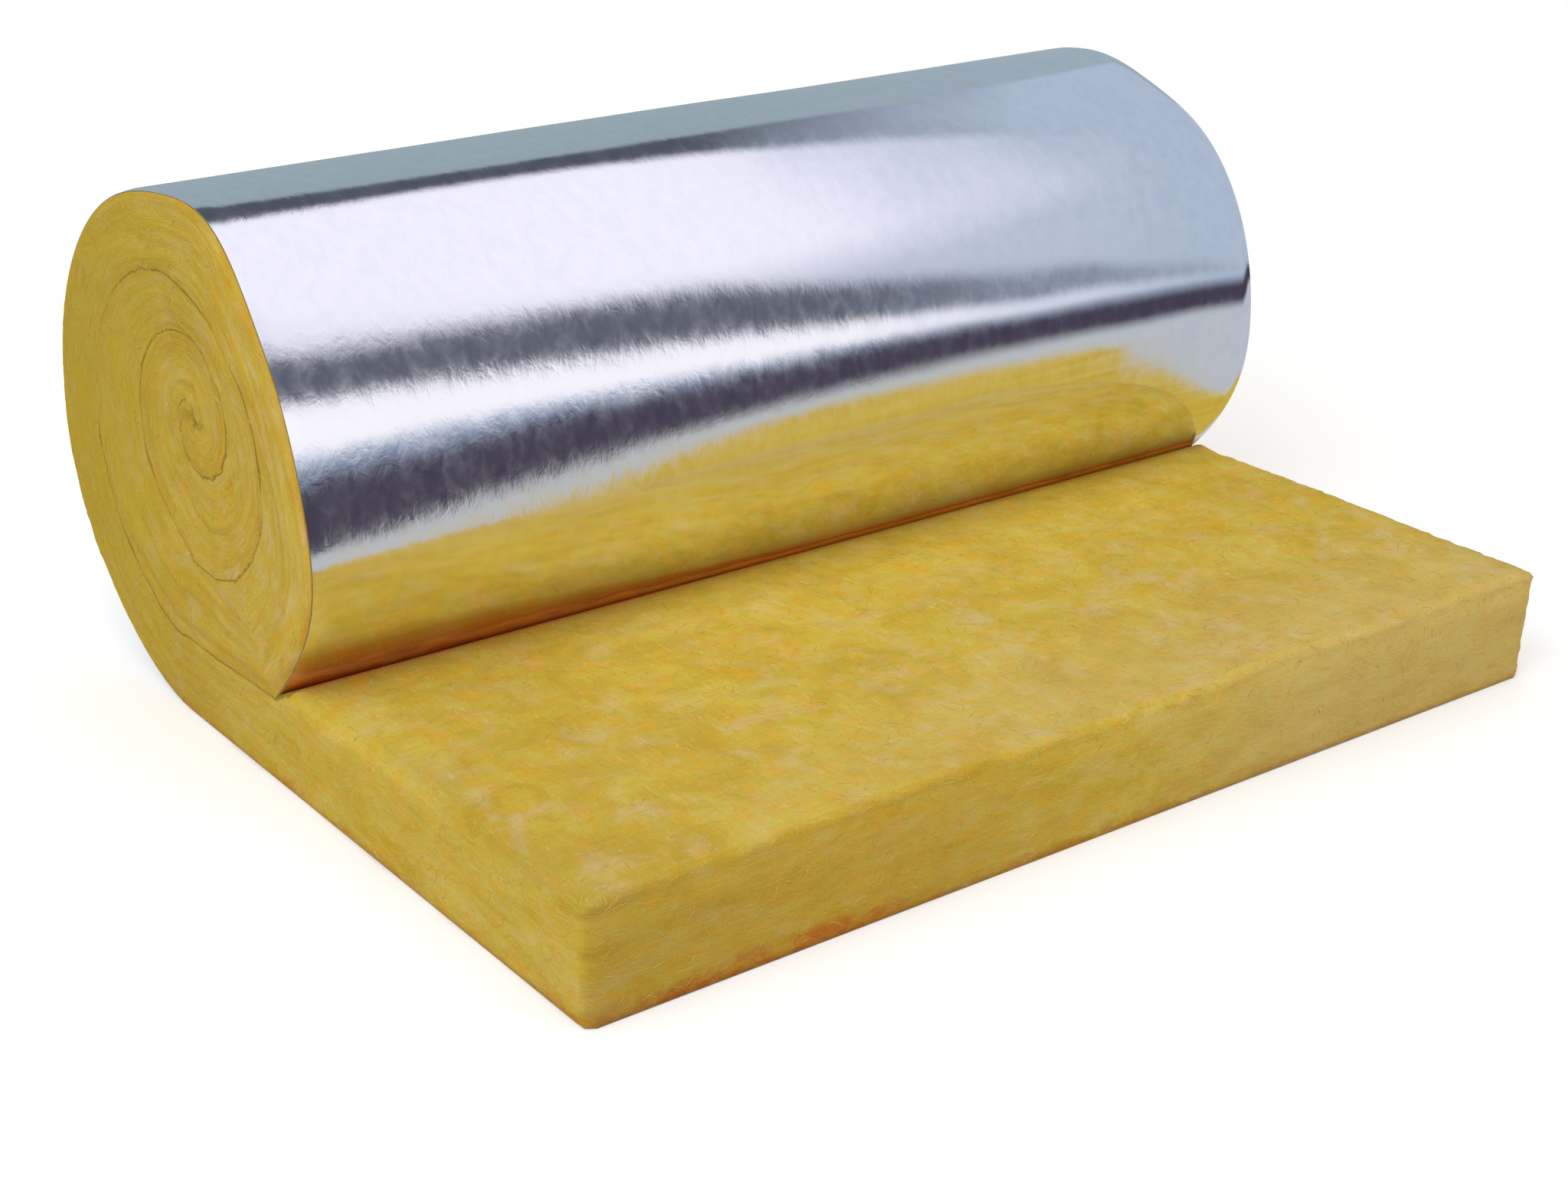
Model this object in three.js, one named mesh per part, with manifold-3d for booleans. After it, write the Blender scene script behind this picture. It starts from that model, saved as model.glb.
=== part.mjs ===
// Roll of foil-faced glass wool, lying on the floor with its outer end laid out flat as a tail.
// Millimetres, +Z up. The roll's axis runs along Y and the tail points to +X.
// The soft roll isn't quite the same at both ends, so each piece is ruled along Y from its near
// section, at -Y, to its far one. A place along the width is given as a share, 0 near and 1 far.
import * as THREE from "three";
import Module from "manifold-3d";

const wasm = await Module();
wasm.setup();

// Blanket
const BLANKET_WIDTH = 1200;
const LOFTED_THICKNESS = 123;
const WOUND_THICKNESS = 82;
const FOIL_THICKNESS = 0.5;
const GLUE_GAP = 0.3;
const TAIL_CORNER_RADIUS = 9;
const TAIL_EDGE_RADIUS = 9;
const FOIL_END_BACK = 0.9; // degrees round the roll, short of the fold

// Roll: radii are taken from a centre above the line where the tail leaves the roll.
// Angles and spreads are in degrees. A pair of sizes is for the near end and the far end.
const MEAN_RADIUS = 258;
const FLOOR_BULGE = 12;
const FLOOR_BULGE_SPREAD = 18;
const SHOULDER_ANGLE = 198;
const SHOULDER_BULGE = [20, -10];
const SHOULDER_SPREAD = 13;
const CROWN_SAG = [20, -3];
const CROWN_SAG_ANGLE = 240;
const CROWN_SAG_SPREAD = 45;
const FRONT_ANGLE = 283;
const FRONT_BULGE = [14, 6];
const FRONT_SPREAD = 13;
const CENTRE_HEIGHT = MEAN_RADIUS + FLOOR_BULGE;

// Tail: from under the roll's centre line to its cut end
const TAIL_REACH = 692;
const CREASE_THICKNESS = [103, 109];
const CREASE_REACH = 185;
const LOFT_QUICKNESS = 0.5;

// Fold: where the foil tucks in between the roll and the tail, and presses the wool down
const TUCK = 4; // degrees round the roll
const TUCK_LIP = 45;

// Turns, as they show on the ends of the roll
const TURN_THINNING = 0.05;
const FRONT_LOFT = 12;
const FRONT_LOFT_ANGLE = 280;
const FRONT_LOFT_FOCUS = 1.6;
const CORE_SHIFT_X = 35;
const CORE_SHIFT_Z = 45;
const CORE_RADIUS = 16;
const TURN_EASE = 40; // degrees over which a turn eases the bends of the one outside it
const TURN_GROOVE_WIDTH = 1.8;
const TURN_GROOVE_DEPTH = 6;
const EYE_LENGTH = 46;
const EYE_WIDTH = 13;

// Fineness of the curves
const ROUND_STEPS = 104;
const LIP_STEPS = 4;
const TAIL_STEPS = 12;
const CORNER_STEPS = 8;
const TURN_STEP = 6;
const EASE_SAMPLES = 5;

const NEAR = 0;
const FAR = 1;
const FULL_TURN = 360;
const OVERSHOOT = 10;

const radians = THREE.MathUtils.degToRad;

function bulge(angle, middle, spread) {
  const away = (angle - middle) / spread;
  return Math.exp(-0.5 * away * away);
}

// Radius of the outer face over the first turn. The angle starts straight down,
// rises at the back (-X), passes over the top and comes down the front (+X).
function outerRadius(angle, share) {
  const shoulder = THREE.MathUtils.lerp(...SHOULDER_BULGE, share);
  const front = THREE.MathUtils.lerp(...FRONT_BULGE, share);
  const sag = THREE.MathUtils.lerp(...CROWN_SAG, share);
  return (
    MEAN_RADIUS +
    FLOOR_BULGE * bulge(angle, 0, FLOOR_BULGE_SPREAD) +
    shoulder * bulge(angle, SHOULDER_ANGLE, SHOULDER_SPREAD) +
    front * bulge(angle, FRONT_ANGLE, FRONT_SPREAD) -
    sag * bulge(angle, CROWN_SAG_ANGLE, CROWN_SAG_SPREAD)
  );
}

function sectionPoint(radius, angle) {
  const turn = radians(angle);
  return new THREE.Vector2(
    -radius * Math.sin(turn),
    CENTRE_HEIGHT - radius * Math.cos(turn),
  );
}

// Upper face of the tail: pressed thin near the roll, sprung back to full loft at the cut end.
function tailTop(x, share) {
  const pressed = THREE.MathUtils.lerp(...CREASE_THICKNESS, share);
  const along = (x - CREASE_REACH) / (TAIL_REACH - CREASE_REACH);
  const sprung = along * (1 + LOFT_QUICKNESS * (1 - along));
  return THREE.MathUtils.lerp(pressed, LOFTED_THICKNESS, sprung);
}

// Angle at which the outer face ends, tucked in a little past where it comes down onto the tail.
function foldAngle(share) {
  let high = 270;
  let low = 345;
  while (low - high > 1e-4) {
    const middle = (high + low) / 2;
    const point = sectionPoint(outerRadius(middle, share), middle);
    if (point.y > tailTop(point.x, share)) {
      high = middle;
    } else {
      low = middle;
    }
  }
  return high + TUCK;
}

// Points round the roll on a face `inset` inside the outer one, from the floor to `short` degrees
// before the fold.
function aroundRoll(inset, short, share) {
  const fold = foldAngle(share);
  const points = [];
  for (let i = 0; i <= ROUND_STEPS; i++) {
    const angle = Math.min((fold * i) / ROUND_STEPS, fold - short);
    points.push(sectionPoint(outerRadius(angle, share) - inset, angle));
  }
  return points;
}

// The tail's upper face from the fold to where its cut end begins to round over.
function tailFace(fold, lastX, share) {
  const pressed = tailTop(fold.x, share) - fold.y;
  const lipEnd = fold.x + TUCK_LIP;
  const points = [];
  for (let i = 1; i <= LIP_STEPS; i++) {
    const along = i / LIP_STEPS;
    const x = fold.x + TUCK_LIP * along;
    points.push(new THREE.Vector2(x, tailTop(x, share) - pressed * (1 - along) ** 2));
  }
  for (let i = 1; i <= TAIL_STEPS; i++) {
    const x = lipEnd + ((lastX - lipEnd) * i) / TAIL_STEPS;
    points.push(new THREE.Vector2(x, tailTop(x, share)));
  }
  return points;
}

function woolSection(share) {
  const inset = FOIL_THICKNESS + GLUE_GAP;
  const points = [new THREE.Vector2(TAIL_REACH, inset)];
  points.push(...aroundRoll(inset, 0, share));
  const rounding = TAIL_REACH - TAIL_EDGE_RADIUS;
  points.push(...tailFace(points[points.length - 1], rounding, share));
  const below = tailTop(rounding, share) - TAIL_EDGE_RADIUS;
  for (let i = 1; i <= CORNER_STEPS; i++) {
    const turn = (Math.PI * (CORNER_STEPS - i)) / (2 * CORNER_STEPS);
    points.push(
      new THREE.Vector2(
        rounding + TAIL_EDGE_RADIUS * Math.cos(turn),
        below + TAIL_EDGE_RADIUS * Math.sin(turn),
      ),
    );
  }
  return points;
}

// The facing follows the outer face from the cut end of the tail, under and round the roll,
// and in at the fold, where it goes on between the turns.
function foilSection(share) {
  const outside = [
    new THREE.Vector2(TAIL_REACH, 0),
    ...aroundRoll(0, FOIL_END_BACK, share),
  ];
  const inside = [
    new THREE.Vector2(TAIL_REACH, FOIL_THICKNESS),
    ...aroundRoll(FOIL_THICKNESS, FOIL_END_BACK, share),
  ];
  return outside.concat(inside.reverse());
}

// How thick one wound turn is at an angle counted on from the first turn.
function turnThickness(angle) {
  const loosened = Math.exp(
    (Math.cos(radians(angle - FRONT_LOFT_ANGLE)) - 1) * FRONT_LOFT_FOCUS,
  );
  const thinned = 1 - (TURN_THINNING * angle) / FULL_TURN;
  return WOUND_THICKNESS * thinned + FRONT_LOFT * loosened;
}

// Radius of the outer face, and past the fold of the line where the roll lies on the tail.
function firstTurnRadius(angle, fold, share) {
  if (angle <= fold) {
    return outerRadius(Math.max(angle, 0), share);
  }
  const toGo = Math.tan(radians(FULL_TURN - angle));
  const whole = Math.tan(radians(FULL_TURN - fold));
  const underRoll = turnThickness(0);
  const atFold = sectionPoint(outerRadius(fold, share), fold).y;
  const height = underRoll + (atFold - underRoll) * (toGo / whole) ** 2;
  return (CENTRE_HEIGHT - height) / Math.cos(radians(angle));
}

// Radius of the line between two turns, counted on from the first turn. Each turn follows the
// one outside it, with its bends eased.
function turnRadius(angle, fold, share) {
  if (angle <= FULL_TURN) {
    return firstTurnRadius(angle, fold, share);
  }
  const outside = angle - FULL_TURN;
  const ease = TURN_EASE * Math.min(1, outside / 90);
  let sum = 0;
  for (let i = 0; i < EASE_SAMPLES; i++) {
    const aside = ease * ((2 * i) / (EASE_SAMPLES - 1) - 1);
    sum += turnRadius(outside + aside, fold, share);
  }
  return sum / EASE_SAMPLES - turnThickness(outside);
}

// The line between the turns, from the fold in to the core, which sits a little off centre.
function turnLine(share) {
  const fold = foldAngle(share);
  const points = [];
  let angle = fold - 1;
  let radius = turnRadius(angle, fold, share);
  while (radius > CORE_RADIUS) {
    const inward = THREE.MathUtils.smoothstep(angle, FULL_TURN, 3 * FULL_TURN);
    const point = sectionPoint(radius, angle);
    point.x += CORE_SHIFT_X * inward;
    point.y += CORE_SHIFT_Z * inward;
    points.push(point);
    angle += TURN_STEP;
    radius = turnRadius(angle, fold, share);
  }
  return points;
}

function grooveSection(share) {
  const line = new THREE.SplineCurve(turnLine(share));
  const steps = line.points.length * 2;
  const left = [];
  const right = [];
  for (let i = 0; i <= steps; i++) {
    const point = line.getPoint(i / steps);
    const along = line.getTangent(i / steps);
    const aside = new THREE.Vector2(-along.y, along.x).multiplyScalar(TURN_GROOVE_WIDTH / 2);
    left.push(point.clone().add(aside));
    right.push(point.clone().sub(aside));
  }
  return left.concat(right.reverse());
}

// The flattened eye that the innermost turn closes on.
function eyeSection() {
  const points = [];
  const steps = 20;
  for (let i = 0; i < steps; i++) {
    const turn = (2 * Math.PI * i) / steps;
    points.push(
      new THREE.Vector2(
        CORE_SHIFT_X + (EYE_LENGTH / 2) * Math.cos(turn),
        CENTRE_HEIGHT + CORE_SHIFT_Z + (EYE_WIDTH / 2) * Math.sin(turn),
      ),
    );
  }
  return points;
}

function anticlockwise(points) {
  return THREE.ShapeUtils.isClockWise(points) ? points.toReversed() : points;
}

// A solid ruled along Y from a near section in XZ to a far one with as many points. Its facets
// are split along their shorter diagonals, so that faces lying side by side are split alike.
function ruled(nearSection, farSection, fromY, toY) {
  const nearPoints = anticlockwise(nearSection);
  const farPoints = anticlockwise(farSection);
  const count = nearPoints.length;
  const positions = [];
  const put = (points, i, y) => positions.push(points[i].x, y, points[i].y);
  for (const [a, b, c] of THREE.ShapeUtils.triangulateShape(nearPoints, [])) {
    [a, b, c].forEach((i) => put(nearPoints, i, fromY));
  }
  for (const [a, b, c] of THREE.ShapeUtils.triangulateShape(farPoints, [])) {
    [a, c, b].forEach((i) => put(farPoints, i, toY));
  }
  for (let i = 0; i < count; i++) {
    const next = (i + 1) % count;
    const onward = nearPoints[i].distanceTo(farPoints[next]);
    const backward = nearPoints[next].distanceTo(farPoints[i]);
    put(nearPoints, i, fromY);
    put(farPoints, i, toY);
    if (onward < backward) {
      put(farPoints, next, toY);
      put(nearPoints, i, fromY);
    } else {
      put(nearPoints, next, fromY);
      put(farPoints, i, toY);
    }
    put(farPoints, next, toY);
    put(nearPoints, next, fromY);
  }
  const geometry = new THREE.BufferGeometry();
  geometry.setAttribute("position", new THREE.Float32BufferAttribute(positions, 3));
  return toSolid(geometry);
}

function toSolid(geometry) {
  const position = geometry.getAttribute("position");
  const mesh = new wasm.Mesh({
    numProp: 3,
    vertProperties: new Float32Array(position.array),
    triVerts: Uint32Array.from({ length: position.count }, (_, i) => i),
  });
  mesh.merge();
  return new wasm.Manifold(mesh);
}

function toGeometry(solid) {
  const mesh = solid.getMesh();
  const geometry = new THREE.BufferGeometry();
  geometry.setAttribute("position", new THREE.BufferAttribute(mesh.vertProperties, 3));
  geometry.setIndex(new THREE.BufferAttribute(mesh.triVerts, 1));
  const flat = geometry.toNonIndexed();
  flat.computeVertexNormals();
  return flat;
}

// Outline in plan: square at the roll, with its two corners rounded at the cut end of the tail.
function planSolid() {
  const half = BLANKET_WIDTH / 2;
  const back = -2 * MEAN_RADIUS;
  const r = TAIL_CORNER_RADIUS;
  const shape = new THREE.Shape();
  shape.moveTo(back, -half);
  shape.lineTo(TAIL_REACH - r, -half);
  shape.absarc(TAIL_REACH - r, -half + r, r, -Math.PI / 2, 0, false);
  shape.lineTo(TAIL_REACH, half - r);
  shape.absarc(TAIL_REACH - r, half - r, r, 0, Math.PI / 2, false);
  shape.lineTo(back, half);
  const height = 3 * MEAN_RADIUS;
  const geometry = new THREE.ExtrudeGeometry(shape, {
    depth: height,
    bevelEnabled: false,
    curveSegments: CORNER_STEPS,
  });
  geometry.translate(0, 0, -OVERSHOOT);
  return toSolid(geometry);
}

function woolSolid() {
  const half = BLANKET_WIDTH / 2;
  const blanket = ruled(woolSection(NEAR), woolSection(FAR), -half, half);
  const nearGroove = grooveSection(NEAR);
  const farGroove = grooveSection(FAR);
  const eye = eyeSection();
  const cuts = [
    ruled(nearGroove, nearGroove, -half - OVERSHOOT, -half + TURN_GROOVE_DEPTH),
    ruled(farGroove, farGroove, half - TURN_GROOVE_DEPTH, half + OVERSHOOT),
    ruled(eye, eye, -half - OVERSHOOT, -half + TURN_GROOVE_DEPTH),
    ruled(eye, eye, half - TURN_GROOVE_DEPTH, half + OVERSHOOT),
  ];
  return cuts.reduce((solid, cut) => solid.subtract(cut), blanket.intersect(planSolid()));
}

function foilSolid() {
  const half = BLANKET_WIDTH / 2;
  return ruled(foilSection(NEAR), foilSection(FAR), -half, half).intersect(planSolid());
}

const wool = new THREE.Mesh(
  toGeometry(woolSolid()),
  new THREE.MeshStandardMaterial({ color: 0xc5a642, roughness: 0.95, metalness: 0 }),
);
wool.name = "glass_wool_blanket";

const foil = new THREE.Mesh(
  toGeometry(foilSolid()),
  new THREE.MeshStandardMaterial({ color: 0xd5dadd, roughness: 0.16, metalness: 1 }),
);
foil.name = "foil_facing";

const backReach = Math.min(
  ...[NEAR, FAR].flatMap((share) => foilSection(share).map((point) => point.x)),
);
const roll = new THREE.Group();
roll.name = "insulation_roll";
roll.add(wool, foil);
roll.position.x = -(TAIL_REACH + backReach) / 2;

export default roll;
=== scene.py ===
"""Foil-faced glass wool roll with its outer end laid flat: the looks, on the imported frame.

Metres, +Z up. The roll's axis runs along Y, with its near end at -Y, and the tail points to +X.
Sections are drawn about the roll's own centre line and then shifted into the frame along X.
"""
import math

import bpy
import numpy as np
from mathutils import Matrix, Vector, bvhtree, geometry, noise


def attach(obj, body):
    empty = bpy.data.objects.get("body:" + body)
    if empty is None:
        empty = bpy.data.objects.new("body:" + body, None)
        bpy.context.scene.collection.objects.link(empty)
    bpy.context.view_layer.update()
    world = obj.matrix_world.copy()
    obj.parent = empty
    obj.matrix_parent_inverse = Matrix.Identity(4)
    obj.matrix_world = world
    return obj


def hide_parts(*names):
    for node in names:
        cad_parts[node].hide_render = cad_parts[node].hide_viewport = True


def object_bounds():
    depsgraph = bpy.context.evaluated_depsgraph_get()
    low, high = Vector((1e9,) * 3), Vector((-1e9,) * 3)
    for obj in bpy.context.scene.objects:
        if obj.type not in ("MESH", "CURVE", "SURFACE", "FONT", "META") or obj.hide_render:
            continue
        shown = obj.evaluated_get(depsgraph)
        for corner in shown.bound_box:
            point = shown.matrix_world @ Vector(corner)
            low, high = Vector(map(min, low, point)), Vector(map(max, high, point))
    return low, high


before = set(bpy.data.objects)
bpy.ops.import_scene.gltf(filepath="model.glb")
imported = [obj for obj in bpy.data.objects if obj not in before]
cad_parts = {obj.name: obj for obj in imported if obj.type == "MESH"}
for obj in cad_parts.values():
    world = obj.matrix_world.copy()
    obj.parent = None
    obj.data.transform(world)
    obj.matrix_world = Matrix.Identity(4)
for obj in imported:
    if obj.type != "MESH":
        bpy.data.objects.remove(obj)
cad_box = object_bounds()
rng = np.random.default_rng(7)

# -------- sizes, as in the solids
WIDTH = cad_box[1][1] - cad_box[0][1]
LOFTED_THICKNESS = 0.123
WOUND_THICKNESS = 0.082
FOIL_THICKNESS = 0.0005
GLUE_GAP = 0.0003
TAIL_CORNER_RADIUS = 0.009

# The roll's outer section: angles in degrees from straight down, first up the back
FULL_TURN = 360
MEAN_RADIUS = 0.258
FLOOR_BULGE, FLOOR_BULGE_SPREAD = 0.012, 18
SHOULDER_ANGLE, SHOULDER_SPREAD = 198, 13
CROWN_SAG_ANGLE, CROWN_SAG_SPREAD = 240, 45
FRONT_ANGLE, FRONT_SPREAD = 283, 13
CENTRE_HEIGHT = MEAN_RADIUS + FLOOR_BULGE

# The tail, measured out from the roll's centre line
TAIL_REACH = 0.692
CREASE_REACH = 0.185
LOFT_QUICKNESS = 0.5
FRAME_SHIFT_X = cad_box[1][0] - TAIL_REACH

# The turns inside the roll
TURN_THINNING = 0.05
FRONT_LOFT, FRONT_LOFT_ANGLE, FRONT_LOFT_FOCUS = 0.012, 280, 1.6
CORE_SHIFT_X, CORE_SHIFT_Z = 0.035, 0.045
CORE_RADIUS = 0.016
TURN_EASE, EASE_SETS_IN, EASE_SAMPLES = 40, 90, 5
EYE_LENGTH, EYE_WIDTH = 0.046, 0.013

# The soft roll isn't the same at both ends: (near, far)
CREASE_THICKNESS = (0.103, 0.109)
SHOULDER_BULGE = (0.020, -0.010)
CROWN_SAG = (0.020, -0.003)
FRONT_BULGE = (0.014, 0.006)

# -------- the fold, a little off the solids'
# How far the roll's face runs on past where it meets the tail, in degrees, at both ends
TUCK = (5.0, 4.0)
TUCK_LIP = 0.036
# How far the foil stops short of the fold, in degrees
FOIL_END_BACK = 0.3
# How far the painted shade at the fold reaches up the foil: (near end, from a share of the width
# on)
FOLD_SHADE_REACH = (0.082, 0.010)
FOLD_SHADE_SHARE = 0.60

# -------- softness of the wool and the foil
TOP_EDGE_ROUND, TOP_ROUND_RUN = 0.016, 0.06
FOILED_EDGE_ROUND = 0.0006
FOIL_TRIM = 0.0012
END_TOP_ROUND = 0.010
END_PROUD, END_PROUD_RUN = 0.0025, 0.010
TURN_GROOVE_DEPTH, TURN_GROOVE_WIDTH = 0.0004, 0.0016
TURN_DIP_DEPTH, TURN_DIP_WIDTH = 0.0006, 0.0060
EYE_DEPTH = 0.005
PIT_DEPTH, PIT_SIZE, PIT_SPREAD = 0.009, 0.015, 0.055
NEAR_SIDE_DROP, NEAR_SIDE_SPREAD = 0.004, 0.050
# How slack the foil is at the far end, against 1 at the near end
FAR_SLACK = 0.12

# -------- fineness of the meshes
FOLD_BETWEEN, FOLD_EXACTNESS = (270.0, 345.0), 1e-4
MOST_TURNS = 4
TURN_STEP = 0.5
# Step of the grid on each end, and then shares of one step
END_GRID = (0.0033, 0.0052)
END_ROW_GAP = 0.9
END_JITTER = 0.2
CLEAR_OF_LINE = 0.55
CLEAR_OF_OUTLINE = 0.7
# The line between the turns, with rows of points on both sides
LINE_STEP = 0.0034
LINE_ROWS = (0.0, 0.0017, -0.0017, 0.0042, -0.0042)
LINE_ROWS_CLEAR = 0.0015
LINE_REACH = 0.02
UNDER_STEPS = 18
UNDER_CROWDING = 1.7
AROUND_STEPS = 72
TOP_STEPS = 92
TOP_EDGE_STEPS = 9
FACE_STEPS = 17
WIDTH_STEPS = 212
FOIL_AROUND_STEPS = 330
FOIL_WIDTH_STEPS = 224

# -------- loose strands
STRAND_COUNT = 6500
STRAND_SIDES = 3
STRAND_STEPS = 4
STRAND_LENGTHS = (0.007, 0.026)
STRAND_RADII = (0.00016, 0.00036)
# The bend along a strand, and how far it strays from its heading, in radians
STRAND_BEND = 1.1
END_STRAY, OPEN_STRAY = 0.35, 0.9
# The share on the ends, against 1 on the tail, and where the tail's top is free
END_SHARE = 0.55
CLEAR_OF_ROLL, CLEAR_OF_TAIL = 0.22, 0.14


# ======== the rolled-up section
def climb(value, start, end):
    """A smooth climb from 0 at the start to 1 at the end."""
    share = np.clip((value - start) / (end - start), 0, 1)
    return share * share * (3 - 2 * share)


def bulge(angle, middle, spread):
    return np.exp(-0.5 * ((angle - middle) / spread) ** 2)


def fade(distance, reach):
    """1 where there is no distance, dying away over the reach."""
    return np.exp(-((distance / reach) ** 2))


def between_ends(pair, y):
    share = np.clip(y / WIDTH + 0.5, 0, 1)
    return pair[0] * (1 - share) + pair[1] * share


def outer_radius(angle, y):
    """Radius of the outer face."""
    return (
        MEAN_RADIUS
        + FLOOR_BULGE * bulge(angle, 0, FLOOR_BULGE_SPREAD)
        + between_ends(SHOULDER_BULGE, y) * bulge(angle, SHOULDER_ANGLE, SHOULDER_SPREAD)
        + between_ends(FRONT_BULGE, y) * bulge(angle, FRONT_ANGLE, FRONT_SPREAD)
        - between_ends(CROWN_SAG, y) * bulge(angle, CROWN_SAG_ANGLE, CROWN_SAG_SPREAD)
    )


def section_point(radius, angle):
    turn = np.radians(angle)
    return -radius * np.sin(turn), CENTRE_HEIGHT - radius * np.cos(turn)


def tail_top(x, y):
    pressed = between_ends(CREASE_THICKNESS, y)
    along = (x - CREASE_REACH) / (TAIL_REACH - CREASE_REACH)
    return pressed + (LOFTED_THICKNESS - pressed) * along * (1 + LOFT_QUICKNESS * (1 - along))


def fold_angle(y):
    """Where the roll's face ends, tucked in past where it comes down onto the tail."""
    high, low = FOLD_BETWEEN
    while low - high > FOLD_EXACTNESS:
        middle = (high + low) / 2
        x, z = section_point(outer_radius(middle, y), middle)
        if z > tail_top(x, y):
            high = middle
        else:
            low = middle
    return high + between_ends(TUCK, y)


def tail_face(x, y, fold_x, fold_z):
    """Top of the tail, pressed down beside the fold."""
    dip = np.clip(1 - (x - fold_x) / TUCK_LIP, 0, 1) ** 2
    return tail_top(x, y) - (tail_top(fold_x, y) - fold_z) * dip


def turn_thickness(angle):
    loosened = np.exp((np.cos(np.radians(angle - FRONT_LOFT_ANGLE)) - 1) * FRONT_LOFT_FOCUS)
    return WOUND_THICKNESS * (1 - TURN_THINNING * angle / FULL_TURN) + FRONT_LOFT * loosened


def first_turn_radius(angle, y, fold):
    """Radius of the outer face, and past the fold of the line where the roll lies on the tail."""
    free = outer_radius(np.minimum(angle, fold), y)
    fold_z = section_point(outer_radius(fold, y), fold)[1]
    lying_angle = np.radians(np.maximum(angle, fold))
    to_go = np.tan(2 * math.pi - lying_angle) / math.tan(math.radians(FULL_TURN - fold))
    height = turn_thickness(0) + (fold_z - turn_thickness(0)) * to_go**2
    return np.where(angle <= fold, free, (CENTRE_HEIGHT - height) / np.cos(lying_angle))


def core_shift(total_angle):
    """How far the turns move off the centre line at an angle counted on from the first turn."""
    share = climb(total_angle, FULL_TURN, 3 * FULL_TURN)
    return CORE_SHIFT_X * share, CORE_SHIFT_Z * share


def turn_radii(y):
    """Radius of the line between turns for each degree, counted on from the first turn.

    Each turn eases the bends of the one outside it.
    """
    angles = np.arange(0, FULL_TURN * MOST_TURNS + 1)
    radii = np.zeros(len(angles))
    first = FULL_TURN + 1
    radii[:first] = first_turn_radius(angles[:first], y, fold_angle(y))
    for angle in angles[first:]:
        outside = angle - FULL_TURN
        ease = TURN_EASE * min(1, outside / EASE_SETS_IN)
        around = np.interp(outside + ease * np.linspace(-1, 1, EASE_SAMPLES), angles, radii)
        radii[angle] = around.mean() - turn_thickness(outside)
    return angles, radii


def turn_line(y):
    """The line between the turns on a cut end, as x, z, and its outward normal."""
    total = np.arange(fold_angle(y), FULL_TURN * MOST_TURNS, TURN_STEP)
    radius = np.interp(total, *turn_radii(y))
    total, radius = total[radius > CORE_RADIUS], radius[radius > CORE_RADIUS]
    shift_x, shift_z = core_shift(total)
    x, z = section_point(radius, total)
    x, z = x + shift_x, z + shift_z
    length = np.concatenate([[0], np.cumsum(np.hypot(np.diff(x), np.diff(z)))])
    even = np.arange(0, length[-1], LINE_STEP)
    x, z = np.interp(even, length, x), np.interp(even, length, z)
    along_x, along_z = np.gradient(x), np.gradient(z)
    run = np.hypot(along_x, along_z)
    return x, z, along_z / run, -along_x / run


def blanket_coordinates(x, z, y):
    """For points of a cut end: how far along the blanket, and how deep from its foil side.

    On the tail the first is minus the reach, and in the roll it is the length wound in.
    """
    fold = fold_angle(y)
    fold_x, fold_z = section_point(outer_radius(fold, y), fold)
    turns = turn_radii(y)
    total = np.zeros_like(x)
    rounds_to_settle = 6
    for _ in range(rounds_to_settle):
        shift_x, shift_z = core_shift(total)
        out_x = shift_x - x
        out_z = CENTRE_HEIGHT + shift_z - z
        angle = np.degrees(np.arctan2(out_x, out_z)) % FULL_TURN
        radius = np.hypot(out_x, out_z)
        lines = [np.interp(angle + FULL_TURN * k, *turns) for k in range(1, MOST_TURNS)]
        turn = sum((radius < line).astype(int) for line in lines)
        outside = np.interp(angle + FULL_TURN * turn, *turns)
        next_in = np.interp(angle + FULL_TURN * (turn + 1), *turns)
        thick = np.where(turn < MOST_TURNS - 1, outside - next_in, outside)
        depth = outside - radius
        total = angle + FULL_TURN * (turn + np.clip(depth / thick, 0, 1))
    turns_in = angle / FULL_TURN + turn
    along = 2 * math.pi * (MEAN_RADIUS * turns_in - 0.5 * WOUND_THICKNESS * turns_in**2)
    lying = turn_thickness(0) + (fold_z - turn_thickness(0)) * (np.clip(x, 0, None) / fold_x) ** 2
    top = np.where(x > fold_x, tail_face(x, y, fold_x, fold_z), lying)
    margin = 0.0002
    tail = (x > 0) & (z < top + margin)
    return np.where(tail, -x, along), np.where(tail, z, np.abs(depth))


# ======== noise, as a repeatable field
def field(points, wavelength, seed, octaves=1):
    """Smooth noise from about -1 to 1, with its own wavelength along each coordinate."""
    seed_gap, octave_ratio, octave_shift = 17.13, 2.03, 5.7
    scaled = np.asarray(points, float) / np.asarray(wavelength, float) + seed * seed_gap
    values = np.zeros(len(scaled))
    strength = 1.0
    for _ in range(octaves):
        values += strength * np.array([noise.noise(p) for p in scaled])
        scaled = scaled * octave_ratio + octave_shift
        strength *= 0.5
    return values


def lumps(points, *sizes):
    """Fields added up, each from its height, its wavelength and its seed."""
    return sum(height * field(points, wavelength, seed) for height, wavelength, seed in sizes)


def flat_points(first, second):
    return np.stack([first, second, np.zeros_like(first)], 1)


# ======== meshes and what they keep
def add_object(name, data):
    added = bpy.data.objects.new(name, data)
    bpy.context.scene.collection.objects.link(added)
    return added


def add_mesh(name, points, faces):
    mesh = bpy.data.meshes.new(name)
    mesh.from_pydata(points, [], faces)
    return add_object(name, mesh)


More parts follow.
